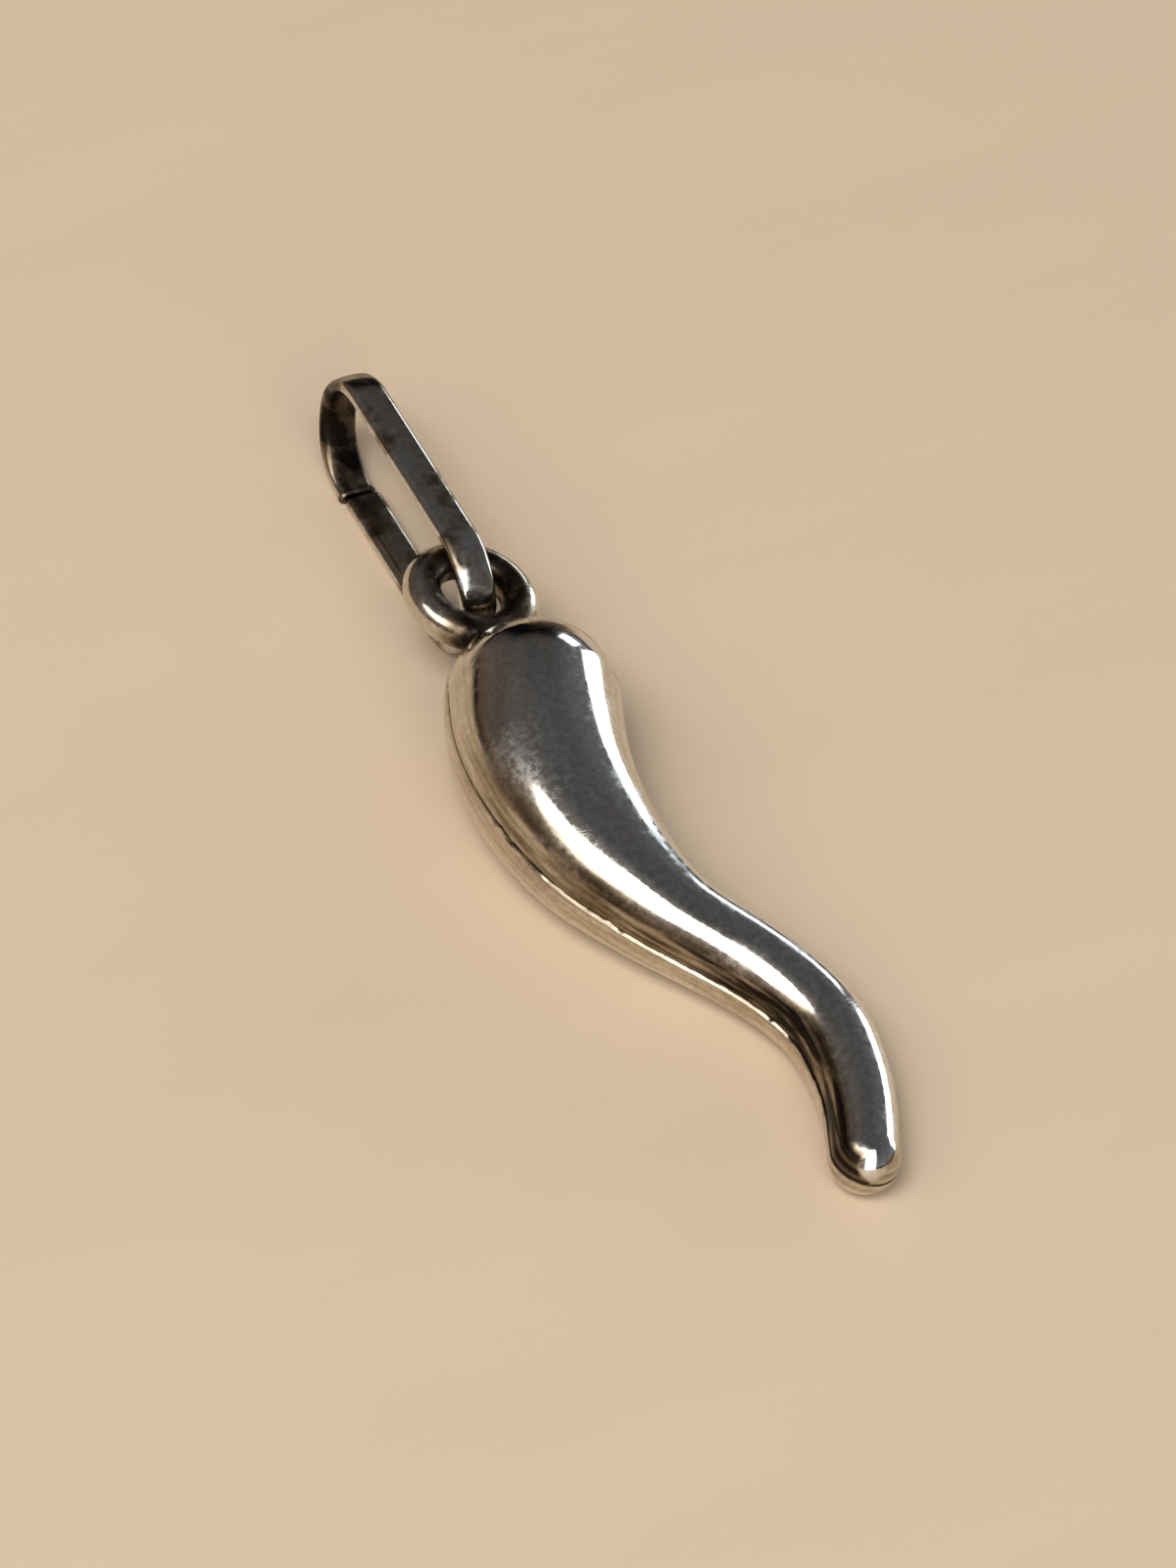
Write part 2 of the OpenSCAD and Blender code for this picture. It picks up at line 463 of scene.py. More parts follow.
def seam_open(u):
    """How far the seam is open: half along the head, and a quarter round the tip."""
    opened = HEAD_OPEN + (1 - HEAD_OPEN) * ease(u, *GAP_FAINT_TO)
    return opened * (1 - TIP_CLOSED * ease(u, *TIP_CLOSED_AT))


def seam_edge(u, point):
    """How steep the lower edge is cut here, and how far the gap strays up or down, in mm."""
    steep = EDGE_STEEP + (1 - EDGE_STEEP) * filed(u) + EDGE_UNEVEN * noise.noise(point * EDGE_WAVES)
    stray = sum(far * noise.noise(point * waves) for waves, far in STRAYS)
    for place, wide, up in NICKS:
        stray += up * max(0, 1 - abs(u - place) / wide)
    return steep, stray


def press_depth(u):
    """How much deeper than wide the pressed halves are. The camera still sees the same width."""
    deep = 1 + DEEPER * ease(u, *DEEPER_AT) * (1 - TIP_SHALLOWER * ease(u, *SHALLOWER_AT))
    heading = horn_heading(u)
    level = LOOK_ALONG - heading * LOOK_ALONG.dot(heading)
    above = math.atan2(math.sin(LOOK_DOWN), level.length * math.cos(LOOK_DOWN))
    narrow = 1 / math.hypot(math.sin(above), deep * math.cos(above))
    return narrow, deep * narrow


def station_finder():
    """A search tree of points along the middle line."""
    tree = kdtree.KDTree(STATIONS + 1)
    for k in range(STATIONS + 1):
        tree.insert(horn_section(k * LAST_ROW / STATIONS)[0], k)
    tree.balance()
    return tree


def place_along(point, tree):
    """Place along the table of the section that a point lies in."""
    level = Vector((point.x, point.y, 0))
    u = tree.find(level)[1] * LAST_ROW / STATIONS
    for _ in range(2):
        u = min(max(u, SMALL_STEP), LAST_ROW - SMALL_STEP)
        run = (horn_section(u + SMALL_STEP)[0] - horn_section(u - SMALL_STEP)[0]) / (2 * SMALL_STEP)
        u += (level - horn_section(u)[0]).dot(run) / run.length_squared
    return min(max(u, 0), LAST_ROW)


def cut_seam(piece):
    """Lays every point on the true section and moves those beside the seam in."""
    tree = station_finder()
    for v in piece.data.vertices:
        u = place_along(v.co, tree)
        middle, radius = horn_section(u)
        offset = v.co - middle
        if 0 < u < LAST_ROW:
            offset -= horn_heading(u) * offset.dot(horn_heading(u))
        out = Vector((offset.x, offset.y, 0)).normalized()
        angle = laid_angle(math.atan2(offset.z, offset.dot(out)), radius)
        height = radius * math.sin(angle)
        inset = way_in(height / MM)
        steep, stray = seam_edge(u, v.co / MM)
        if height < STEEP_BELOW:
            inset *= steep
        inset *= seam_open(u)
        stray *= max(0, 1 - abs(height) / (LEVEL_ROWS * ROW_RISE))
        across = radius * math.cos(angle) - inset * MM
        under = UNDER_CAD + sum(deep * noise.noise(v.co / MM / size) for size, deep in DENTS) * MM
        narrow, deep = press_depth(u)
        rise = height * (deep if height > 0 else 1) + stray * MM
        v.co = middle + (out * across * narrow + Vector((0, 0, rise))) * (1 - under / radius)
    return box_of(piece)


print("skin box in mm:", in_mm(cut_seam(horn)))

# %% [markdown]
# The eyelet is a ring of round wire that lies in the plane of the seam, and it is soldered to the
# head. The solder has run into the corner and left a small cove all round.

# %% Eyelet and solder
EYELET_WIRE = 1.15 * MM
EYELET_HOLE = 1.9 * MM
EYELET_SIDE = math.radians(5)
SOLDER_DEPTH = 0.3 * MM
COVE_RADIUS = 0.7 * MM
COVE_NECK = 0.46 * MM
COVE_STEPS = 8
COVE_FEET = [
    # how far aside and how far up, as shares of the cove's own middle and of the head's radius
    (0, 0.80),
    (0.72, 0.86),
]
RING_SEGMENTS, WIRE_SEGMENTS = 128, 64
HEAD_RADIUS = horn_section(0)[1]
EYELET_MIDDLE = HEAD_RADIUS - SOLDER_DEPTH + EYELET_WIRE + EYELET_HOLE / 2


def add_eyelet():
    """Round-wire ring above the head, before it is turned to the side."""
    start_fresh()
    bpy.ops.mesh.primitive_torus_add(
        major_radius=(EYELET_HOLE + EYELET_WIRE) / 2, minor_radius=EYELET_WIRE / 2,
        major_segments=RING_SEGMENTS, minor_segments=WIRE_SEGMENTS, location=(0, EYELET_MIDDLE, 0))
    ring = settle(bpy.context.object)
    ring.name = "eyelet"
    return ring


def cove_profile():
    """Outline of the solder from its foot inside the head to its neck inside the wire."""
    away = COVE_NECK + COVE_RADIUS
    middle = math.sqrt((HEAD_RADIUS + COVE_RADIUS) ** 2 - away ** 2)
    start = math.atan2(-middle, -away)
    points = [Vector((away * aside, HEAD_RADIUS * up, 0)) for aside, up in COVE_FEET]
    for k in range(COVE_STEPS + 1):
        turn = start + (-math.pi - start) * k / COVE_STEPS
        points.append(Vector((
            away + COVE_RADIUS * math.cos(turn), middle + COVE_RADIUS * math.sin(turn), 0)))
    points.append(Vector((0, middle, 0)))
    return points


def add_solder():
    """The cove, spun about the line from the head's middle to the eyelet's."""
    start_fresh()
    points = cove_profile()
    bpy.ops.mesh.primitive_plane_add(size=MM, location=points[0])
    cove = settle(bpy.context.object)
    cove.name = "solder"
    bpy.ops.object.mode_set(mode="EDIT")
    bpy.ops.mesh.merge(type="CENTER")
    for before, after in zip(points, points[1:]):
        bpy.ops.mesh.extrude_vertices_move(TRANSFORM_OT_translate={"value": after - before})
    pick_all()
    bpy.ops.mesh.spin(
        steps=WIRE_SEGMENTS, angle=2 * math.pi, use_auto_merge=True, center=(0, 0, 0), axis=(0, 1, 0))
    close_up()
    bpy.ops.object.mode_set(mode="OBJECT")
    return cove


def lean_aside(piece):
    """Turns a piece about the head's middle, to the side that the eyelet sits on."""
    piece.data.transform(Matrix.Rotation(-EYELET_SIDE, 4, "Z"))


def melt_on(piece, extra):
    """Joins an overlapping solid to a piece, so that one closed skin is left."""
    work_on(piece)
    join = piece.modifiers.new("join", "BOOLEAN")
    join.operation = "UNION"
    join.solver = "EXACT"
    join.object = extra
    bpy.ops.object.modifier_apply(modifier=join.name)
    bpy.data.objects.remove(extra)


for part in (add_solder(), add_eyelet()):
    lean_aside(part)
    melt_on(horn, part)
print("faces with the eyelet:", len(horn.data.polygons))

# %% [markdown]
# Silver goes brown and then black where no cloth or finger rubs it: in the gap of the seam, in the
# corner at the solder and inside the eyelet. Shade is painted on it too. A belt beside the seam along
# the tail is painted shade, darker on the near side, in place of the shadowed surface that the silver
# would reflect there. The dark of the solder's corner reaches out over the head as painted shade, a
# black brow at the head's far end is painted shade, and inside the eyelet tarnish and painted shade lie
# together. The lower half is straw-coloured all over, and the point of the tip is clean. Those places
# follow from the shape, so they are worked out for each point and kept in a colour attribute: red for
# the gap, green for the painted shade of the belt beside it and for the straw of the lower half, blue
# for the corner, the eyelet, the painted brow and a few stains, alpha for what is rubbed dull. A UV map
# is made as well. It runs along the horn and round it in millimetres, and the streaks of the belt
# follow it.
# The real horn rests on its fat belly and on the outer bend of its tail, so it tilts down to the tip
# and rolls a little. That is worked out here already, because some places were found on it as it lies.

# %% Where the silver is tarnished, and where shade is painted on it
TIP_DROP = math.radians(5.05)
TAIL_ROLL = math.radians(4.5)
HEAD_PLACE = Vector((0.2146, 2.4024, 2.7291)) * MM
HORN_TILT = Matrix.Rotation(TAIL_ROLL, 4, "Y") @ Matrix.Rotation(TIP_DROP, 4, "X")
HORN_LAID = Matrix.Translation(HEAD_PLACE) @ HORN_TILT
# Heights over the seam and distances are in mm, and pairs say where a change starts and ends
GAP_FROM, GAP_TO, GAP_FADE, GAP_FAINT = -0.012, 0.045, 0.035, 0.55
# The belt is painted shade: it darkens the silver beside the seam, more on the near side than behind, in
# place of the shadowed surface that the silver would reflect there.
BELT_SOFT = 0.03
BELT_FADE = (math.radians(24), math.radians(46))
TAIL_WIDER, TAIL_AT = math.radians(14), (8.0, 9.6)
BELT_BY_PLACE = [
    # place along the table, how strong the belt is there
    (0.0, 0.24),
    (1.5, 0.34),
    (2.6, 0.56),
    (5.0, 0.74),
    (7.4, 0.92),
    (8.6, 1.30),
    (12.0, 1.10),
]
BELT_FAR_SIDE = [
    # the same for the far edge, which faces away from the camera
    (0.0, 0.22),
    (4.8, 0.22),
    (5.8, 0.75),
    (8.8, 0.75),
    (9.6, 0.1),
]
FAR_SIDE_REACH = (math.radians(48), math.radians(66))
BELT_BEHIND = 0.35
LOWER_STAIN = 0.32
FILED_FROM = -0.11
FILED_STAIN = 0.40
CLEANED = [
    # the point of the tip on the laid horn, which clothes keep bright, and how far that reaches, in mm
    (Vector((0.28, -16.66, 1.60)), 0.30, 0.50),
]
STAINED = [
    # dark stains on the laid horn, and how far they reach, in mm
    (Vector((-0.17, -16.05, 1.72)), 0.10, 0.42),
]
# The corner at the solder is tarnish close to the joint, and painted shade where it reaches out over the
# head.
CORNER_NEAR, CORNER_FAR = 1.1, 2.2
RING_SHARE = 0.2
# The brow is painted shade: a black band at the head's far end, where the silver would reflect the eyelet
# and the shadow beside the head.
BROW_PLACE = Vector((0.39, 3.64, 5.0))
BROW_ALONG = Vector((0.566, -0.736, 0.374))
BROW_ACROSS = Vector((0.823, 0.471, -0.318))
BROW_LENGTH, BROW_REACH = (0.9, 1.5), (1.6, 2.0)
BROW_START, BROW_END = (-0.35, -0.2), (0.3, 0.5)
STAIN_DARK = 0.75
RUBBED = [
    # places on the laid horn where it is rubbed dull, and how far that reaches, in mm
    (Vector((-2.36, -0.75, 4.56)), 0.5, 1.7),
    (Vector((1.74, -7.6, 2.85)), 0.2, 1.1),
    (Vector((2.3, -9.3, 2.7)), 0.2, 1.0),
]
# Inside the eyelet's hole the silver is darkened by tarnish and painted shade together.
WALL_FROM, WALL_TO = math.radians(62), math.radians(98)


def read_off(table, place):
    """Value of a two-column table at a place between its rows."""
    for (low, first), (high, second) in zip(table, table[1:]):
        if place <= high:
            return first + (second - first) * max(0, place - low) / (high - low)
    return table[-1][1]


def run_lengths():
    """Distance along the middle line, in mm, at each station."""
    lengths = [0.0]
    for k in range(STATIONS):
        first, second = (horn_section(j * LAST_ROW / STATIONS)[0] for j in (k, k + 1))
        lengths.append(lengths[-1] + (second - first).length / MM)
    return lengths


def belt_at(u, height, slope, behind):
    """Painted shade on the belt beside the seam above it, and the stains on the lower half and its filed
    edge.
    """
    belt = LOWER_STAIN
    if height >= 0:
        wider = TAIL_WIDER * ease(u, *TAIL_AT)
        belt = read_off(BELT_BY_PLACE, u) * (BELT_BEHIND if behind else 1)
        belt *= ease(height, 0, BELT_SOFT) * (1 - ease(slope - wider, *BELT_FADE))
    if behind:
        return max(belt, read_off(BELT_FAR_SIDE, u) * (1 - ease(slope, *FAR_SIDE_REACH)))
    if FILED_FROM < height < 0:
        return max(belt, FILED_STAIN * filed(u))
    return belt


def tarnish_and_shade_at(point, u):
    """Gap, belt and corner shares at a point of the horn, before it is laid."""
    middle, radius = horn_section(u)
    offset = point - middle
    height = offset.z / MM - seam_edge(u, point / MM)[1]
    above, below = (height - GAP_TO) / GAP_FADE, (GAP_FROM - height) / GAP_FADE
    gap = (1 - ease(max(above, below), 0, 1)) * (GAP_FAINT + (1 - GAP_FAINT) * ease(u, *GAP_FAINT_TO))
    behind = offset.dot(UP.cross(horn_heading(u))) > 0
    belt = belt_at(u, height, math.asin(min(1, abs(offset.z) / radius)), behind)
    level = Matrix.Rotation(EYELET_SIDE, 4, "Z") @ point
    corner = 1 - ease((level - Vector((0, HEAD_RADIUS, 0))).length / MM, CORNER_NEAR, CORNER_FAR)
    if level.y > HEAD_RADIUS:
        gap, belt = 0, 0
        from_ring = level - Vector((0, EYELET_MIDDLE, 0))
        reach = math.hypot(from_ring.x, from_ring.y) - (EYELET_HOLE + EYELET_WIRE) / 2
        wall = ease(abs(math.atan2(from_ring.z, reach)), WALL_FROM, WALL_TO)
        corner = max(corner, wall, RING_SHARE)
    return gap, belt, corner


def brow_and_rub(place):
    """The painted shade of the dark brow at the head's far end, the dark stains, and the rubbed and the
    clean places, on the laid horn.
    """
    from_brow = place - BROW_PLACE
    along, across = abs(from_brow.dot(BROW_ALONG)), from_brow.dot(BROW_ACROSS)
    brow = (1 - ease(from_brow.length, *BROW_REACH)) * (1 - ease(along, *BROW_LENGTH))
    brow *= ease(across, *BROW_START) * (1 - ease(across, *BROW_END))
    stain, rub, clean = (
        max(1 - ease((place - spot).length, low, high) for spot, low, high in table)
        for table in (STAINED, RUBBED, CLEANED))
    return max(brow, STAIN_DARK * stain), rub, clean


def mark_tarnish_and_shade(piece):
    """Writes the colour attribute and the UV map."""
    tree, lengths = station_finder(), run_lengths()
    marks = piece.data.color_attributes.new("tarnish_and_shade", "FLOAT_COLOR", "POINT")
    along = []
    for v in piece.data.vertices:
        u = place_along(v.co, tree)
        gap, belt, corner = tarnish_and_shade_at(v.co, u)
        brow, rub, clean = brow_and_rub(HORN_LAID @ v.co / MM)
        gap, belt = (share * (1 - clean) for share in (gap, belt))
        marks.data[v.index].color = (gap, belt, max(corner, brow), rub)
        run = u / LAST_ROW * STATIONS
        k = min(int(run), STATIONS - 1)
        along.append((lengths[k] + (lengths[k + 1] - lengths[k]) * (run - k), v.co.z / MM))
    while piece.data.uv_layers:
        piece.data.uv_layers.remove(piece.data.uv_layers[0])
    layer = piece.data.uv_layers.new(name="lengthwise")
    for loop, place in zip(piece.data.loops, layer.data):
        place.uv = along[loop.vertex_index]
    return lengths[-1]


print("length of the middle line in mm:", round(mark_tarnish_and_shade(horn), 2))

# %% [markdown]
# So far the horn lies with its seam level. Now it is laid down as the real one lies.

# %% Laying the horn on the surface
horn.data.transform(HORN_LAID)
horn.data.update()
print("horn in mm:", in_mm(box_of(horn)))
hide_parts("horn")
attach(horn, "root")
work_on(horn)
bpy.ops.object.shade_smooth()

# %% [markdown]
# The bail is one flat strip, bent into a long oval until its two ends meet in the lower leg. So it
# is drawn the same way: the rounded section is extruded along a leg, spun round a bend, extruded
# along the other leg and spun again, and the two cut ends stay a hair apart.

# %% The bail's strip
BAIL_LENGTH = 10.7 * MM
BAIL_HEIGHT = 4.45 * MM
STRIP_WIDTH = 1.2 * MM
STRIP_THICKNESS = 0.5 * MM
STRIP_ROUND = 0.2 * MM
STRIP_CROWN = 0.25
FACE_CUTS = 7
CUT_FROM_BEND = 0.2 * MM
CUT_GAP = 0.08 * MM
BEND_RADIUS = (BAIL_HEIGHT - STRIP_THICKNESS) / 2
HALF_LEG = (BAIL_LENGTH - BAIL_HEIGHT) / 2
NEAR_CUT = HALF_LEG - CUT_FROM_BEND - CUT_GAP / 2
FAR_CUT = NEAR_CUT + CUT_GAP
LEG_STEPS, LAST_STEPS, BEND_STEPS, ROUND_STEPS = 36, 2, 48, 6


def strip_face():
    """The strip's section as one face, at the near side of the cut in the lower leg."""
    start_fresh()
    bpy.ops.mesh.primitive_plane_add(
        size=1, location=(0, NEAR_CUT, -BEND_RADIUS), rotation=(math.radians(90), 0, 0))
    bpy.context.object.scale = (STRIP_WIDTH, STRIP_THICKNESS, 1)
    strip = settle(bpy.context.object)
    strip.name = "bail_silver"
    bpy.ops.object.mode_set(mode="EDIT")
    pick_all()
    bpy.ops.mesh.bevel(offset=STRIP_ROUND, segments=ROUND_STEPS, affect="VERTICES")
    pick(strip, lambda p: abs(p.x) < STRIP_ROUND / 2, "EDGE")
    bpy.ops.mesh.subdivide(number_cuts=FACE_CUTS)
    crown_faces(strip)
    bpy.ops.mesh.select_mode(type="FACE")
    pick_all()
    return strip


def crown_faces(strip):
    """Makes the strip a little thinner towards its edges, as rolled strip is."""
    mesh = bmesh.from_edit_mesh(strip.data)
    for v in mesh.verts:
        thinner = STRIP_CROWN * (2 * v.co.x / STRIP_WIDTH) ** 2
        v.co.z = -BEND_RADIUS + (v.co.z + BEND_RADIUS) * (1 - thinner)
    bmesh.update_edit_mesh(strip.data)


def draw_straight(way, length, steps):
    """Extrudes the selected end straight on along the leg."""
    for _ in range(steps):
        bpy.ops.mesh.extrude_region_move(
            TRANSFORM_OT_translate={"value": (0, way * length / steps, 0)})


def draw_bend(middle):
    """Spins the selected end half way round a bend."""
    bpy.ops.mesh.spin(steps=BEND_STEPS, angle=math.pi, center=(0, middle, 0), axis=(1, 0, 0))


bail = strip_face()
draw_straight(-1, NEAR_CUT + HALF_LEG, LEG_STEPS)
draw_bend(-HALF_LEG)
draw_straight(1, 2 * HALF_LEG, LEG_STEPS)
draw_bend(HALF_LEG)
draw_straight(-1, HALF_LEG - FAR_CUT, LAST_STEPS)
close_up()
strip = bmesh.from_edit_mesh(bail.data)
print("bail faces:", len(strip.faces), "open edges:", sum(not e.is_manifold for e in strip.edges))

# %% [markdown]
# The ends were nipped off and pressed together by hand, so their edges are soft and one end sits a
# little to the side of the other.

# %% The two ends of the strip
END_ROUND, END_STEPS, END_FLAT = 0.13 * MM, 4, MM / 1000
END_ASIDE = Vector((-0.12, 0, 0.012)) * MM
INSIDE_FADE, END_FADE = (0.35, 0.95), (0.5, 0.9)
BAIL_DENTS = [
    # size of the unevenness along the surface, and its depth, in mm
    (1.9, 0.022),
    (0.5, 0.0022),
]


def soften_ends(piece):
    """Bevels the edges of the two cut ends."""
    for place in (NEAR_CUT, FAR_CUT):
        pick(piece, lambda p: abs(p.y - place) < END_FLAT and p.z < 0, "FACE")
        bpy.ops.mesh.region_to_loop()
        bpy.ops.mesh.bevel(offset=END_ROUND, segments=END_STEPS, affect="EDGES")


def press_aside(piece):
    """Moves the end of the far bend to the side, less and less up the bend."""
    mesh = bmesh.from_edit_mesh(piece.data)
    for v in mesh.verts:
        if v.co.y > (NEAR_CUT + FAR_CUT) / 2 and v.co.z < 0:
            v.co += END_ASIDE * ease(-v.co.z, 0, BEND_RADIUS)
    bmesh.update_edit_mesh(piece.data)


def mark_inside(piece):
    """Red where the strip faces the inside of the oval, green on its cut ends, blue on the far bend for
    its painted shade.
    """
    marks = piece.data.color_attributes.new("inside", "FLOAT_COLOR", "POINT")
    for v in piece.data.vertices:
        middle = Vector((0, max(-HALF_LEG, min(HALF_LEG, v.co.y)), 0))
        outward = Vector((0, v.co.y, v.co.z)) - middle
        inside = ease(-v.normal.dot(outward.normalized()), *INSIDE_FADE)
        end = ease(abs(v.normal.y), *END_FADE) if v.co.z < 0 and abs(v.co.y) < HALF_LEG else 0
        # The far bend is marked for painted shade.
        far = ease(v.co.y, HALF_LEG, HALF_LEG + BEND_RADIUS)
        marks.data[v.index].color = (inside, end, far, 1)


def bend_by_hand(piece):
    """Presses shallow dents into the strip. They only go inwards, so the piece stays in its box."""
    for v in piece.data.vertices:
        dent = sum(deep * (0.5 + 0.5 * noise.noise(v.co / MM / size)) for size, deep in BAIL_DENTS)
        v.co -= v.normal * dent * MM
    piece.data.update()


soften_ends(bail)
press_aside(bail)
bpy.ops.object.mode_set(mode="OBJECT")
mark_inside(bail)
bend_by_hand(bail)
BAIL_PLACE = Vector((1.3646, 11.5824, 2.2522)) * MM
BAIL_TURN = math.radians(5.8)
BAIL_LEAN = math.radians(5)
BAIL_LAID = Matrix.Rotation(-BAIL_TURN, 4, "Z") @ Matrix.Rotation(-BAIL_LEAN, 4, "Y")
bail.data.transform(Matrix.Translation(BAIL_PLACE) @ BAIL_LAID)
bail.data.update()
work_on(bail)
bpy.ops.object.shade_smooth()
even = bail.modifiers.new("even", "WEIGHTED_NORMAL")
even.keep_sharp = True
bpy.ops.object.modifier_apply(modifier=even.name)
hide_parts("bail")
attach(bail, "root")
print("bail in mm:", in_mm(box_of(bail)))

# %% [markdown]
# Materials and the room are both made of nodes. A few small helpers keep that short: one makes a node
# with its settings and links, and the others make the sums that are wanted again and again.

# %% Helpers for nodes
def add_node(tree, kind, **settings):
    """A node with its settings made and its inputs filled or linked."""
    node = tree.nodes.new(kind)
    for name, value in settings.items():
        if name == "inputs":
            for place, given in value.items():
                if isinstance(given, bpy.types.NodeSocket):
                    tree.links.new(given, node.inputs[place])
                else:
                    node.inputs[place].default_value = given
        else:
            setattr(node, name, value)
    return node


def count_with(tree, operation, first, second=0.0, **more):
    """A Math node's result."""
    node = add_node(tree, "ShaderNodeMath", operation=operation, inputs={0: first, 1: second}, **more)
    return node.outputs[0]


def times(tree, first, second):
    """The product of two numbers."""
    return count_with(tree, "MULTIPLY", first, second)


def apart(tree, first, second):
    """How far apart two numbers are."""
    return count_with(tree, "ABSOLUTE", count_with(tree, "SUBTRACT", first, second))


def add_shares(tree, value, shares):
    """A value with so much of each share added to it."""
    for share, more in shares:
        value = count_with(tree, "ADD", value, times(tree, share, more))
    return value


def scaled(tree, vector, by):
    """A vector or a colour times a number."""
    node = add_node(tree, "ShaderNodeVectorMath", operation="SCALE", inputs={0: vector, "Scale": by})
    return node.outputs[0]


def dot_with(tree, way, axis):
    """How far a direction goes along an axis."""
    node = add_node(tree, "ShaderNodeVectorMath", operation="DOT_PRODUCT", inputs={0: way, 1: axis})
    return node.outputs["Value"]


def angle_of(tree, aside, ahead):
    """Angle in degrees of a direction that goes so far aside and so far ahead."""
    return count_with(tree, "DEGREES", count_with(tree, "ARCTAN2", aside, ahead))


def soft_step(tree, value, low, high):
    """0 below low, 1 above high, smooth between."""
    node = add_node(tree, "ShaderNodeMapRange", interpolation_type="SMOOTHSTEP", inputs={
        "Value": value, "From Min": low, "From Max": high})
    return node.outputs["Result"]


def between(tree, share, low, high):
    """Low where the share is 0 and high where it is 1."""
    node = add_node(tree, "ShaderNodeMapRange", inputs={"Value": share, "To Min": low, "To Max": high})
    return node.outputs["Result"]


def mix_colors(tree, share, first, second, blend="MIX"):
    """Mixes two colours. Counted from 0, inputs 6 and 7 of a Mix node are its colours."""
    node = add_node(tree, "ShaderNodeMix", data_type="RGBA", blend_type=blend, inputs={
        0: share, 6: first, 7: second})
    return node.outputs[2]


def stretched(tree, place, turn, spread):
    """Coordinates turned by three angles in degrees, and scaled."""
    node = add_node(tree, "ShaderNodeMapping", inputs={
        "Vector": place, "Rotation": [math.radians(a) for a in turn], "Scale": spread})
    return node.outputs["Vector"]


def cloud(tree, place, scale, detail=2.0):
    """Noise between 0 and 1."""
    node = add_node(tree, "ShaderNodeTexNoise", inputs={
        "Vector": place, "Scale": scale, "Detail": detail})
    return node.outputs["Fac"]


# %% [markdown]
# Silver is nearly a mirror, so what shows on it is the room and the wear in its polish. The wear is
# the same kind on both pieces: long fine scratches in several directions, a grain of tiny dents, and
# patches of haze where it rubbed against things. It is built once, as a node group that both
# materials use. A scratch is the thin line along which a stretched noise passes its middle value.

# %% The wear of the silver
SCRATCH_SETS = [
    # turn in degrees, stretch, how wide a line is, and the cloud's value from which lines show
    ((12, 8, 64), (0.34, 6.5, 6.5), 0.045, 0.50),
    ((-20, 15, 20), (0.40, 8.5, 8.5), 0.050, 0.54),
    ((35, -12, -28), (0.46, 7.4, 7.4), 0.045, 0.56),
    ((5, 40, 105), (0.55, 11.0, 11.0), 0.060, 0.57),
]
NOISE_MIDDLE, LINE_CORE = 0.5, 0.1
BROKEN_SPREAD, BROKEN_SOFT = (0.5, 1.3, 1.3), 0.1
PATCH_KINDS = {
    # waves per mm, detail, and the two values of the noise between which the patch sets in
    "haze": (0.42, 1.0, 0.46, 0.66),
    "rub": (3.4, 3.0, 0.36, 0.66),
    "grain": (5.2, 4.0, 0.30, 0.70),
    "streaks": (1.0, 3.0, 0.30, 0.70),
    "blots": (1.7, 3.0, 0.30, 0.70),
    "rubbed": (6.0, 4.0, 0.34, 0.62),
    "smudges": (0.8, 4.0, 0.43, 0.62),
}
RIPPLE, RIPPLE_HIGH = (2.6, 2.0), 2.2


def patches(tree, place, kind):
    """Patches of one kind with soft edges, between 0 and 1."""
    scale, detail, low, high = PATCH_KINDS[kind]
    return soft_step(tree, cloud(tree, place, scale, detail), low, high)


def scratch_lines(tree, place, turn, spread, wide, rare):
    """One set of scratches, broken off where a cloud is thin."""
    value = cloud(tree, stretched(tree, place, turn, spread), 1.0, 1.0)
    off = apart(tree, value, NOISE_MIDDLE)
    line = count_with(tree, "SUBTRACT", 1.0, soft_step(tree, off, wide * LINE_CORE, wide))
    broken = cloud(tree, stretched(tree, place, turn, BROKEN_SPREAD), 1.0)
    return times(tree, line, soft_step(tree, broken, rare, rare + BROKEN_SOFT))


def wear_group():
    """Node group: a place in mm goes in, and scratches, haze, grain and a height come out."""
    tree = bpy.data.node_groups.new("silver_wear", "ShaderNodeTree")
    tree.interface.new_socket("Place", in_out="INPUT", socket_type="NodeSocketVector")
    for name in ("Scratches", "Haze", "Grain", "Height"):
        tree.interface.new_socket(name, in_out="OUTPUT", socket_type="NodeSocketFloat")
    place = add_node(tree, "NodeGroupInput").outputs["Place"]
    lines = 0.0
    for row in SCRATCH_SETS:
        lines = count_with(tree, "MAXIMUM", scratch_lines(tree, place, *row), lines)
    haze = times(tree, patches(tree, place, "haze"), patches(tree, place, "rub"))
    grain = patches(tree, place, "grain")
    ripple = times(tree, cloud(tree, place, *RIPPLE), RIPPLE_HIGH)
    height = count_with(tree, "SUBTRACT", count_with(tree, "ADD", grain, ripple), lines)
    add_node(tree, "NodeGroupOutput", inputs={0: lines, 1: haze, 2: grain, 3: height})
    return tree


WEAR = wear_group()


def worn(tree):
    """The wear group in a material, fed with the place on the piece in mm, and that place."""
    place = scaled(tree, add_node(tree, "ShaderNodeTexCoord").outputs["Object"], 1 / MM)
    group = add_node(tree, "ShaderNodeGroup", node_tree=WEAR, inputs={"Place": place})
    return group.outputs, place


print("sets of scratches:", len(SCRATCH_SETS))

# %% [markdown]
# The horn's silver takes its tarnish and its painted shade from the attribute. A ramp turns the amount
# into a colour: clean, straw, brown, and nearly black. Tarnish is also rougher than the metal, so both
# the colour and the roughness follow it, and the painted shade is made rougher in the same way.

